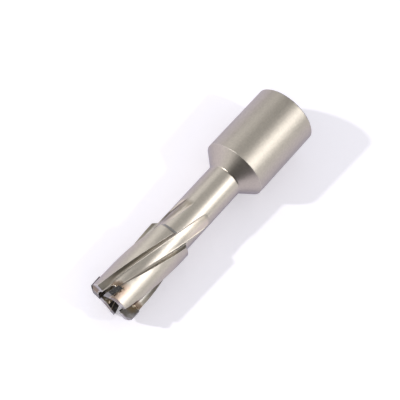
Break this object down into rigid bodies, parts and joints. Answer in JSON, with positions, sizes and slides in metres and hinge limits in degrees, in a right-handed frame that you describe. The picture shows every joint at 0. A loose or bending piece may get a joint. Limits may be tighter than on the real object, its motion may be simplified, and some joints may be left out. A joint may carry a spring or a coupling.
{
  "type": "annular cutter",
  "caption": "Hollow hole cutter with a flatted parallel shank, slim neck, helical flutes and brazed carbide teeth.",
  "frame": {"origin": "centre of the shank's end face; the part stands on it", "axes": "+Z along the axis from the shank to the teeth; the leading corner of tooth 1 lies near +X and faces +Y"},
  "size_m": [0.019, 0.019, 0.075],
  "materials": {
    "steel": "fine satin, bead blasted on the shank",
    "carbide": "ground sintered carbide, dark",
    "braze": "as melted"
  },
  "bodies": {
    "root": {"cutter_body": "steel", "carbide_tip_1": "carbide", "carbide_tip_2": "carbide", "carbide_tip_3": "carbide", "carbide_tip_4": "carbide", "braze_seam_1": "braze", "braze_seam_2": "braze", "braze_seam_3": "braze", "braze_seam_4": "braze"}
  },
  "joints": []
}
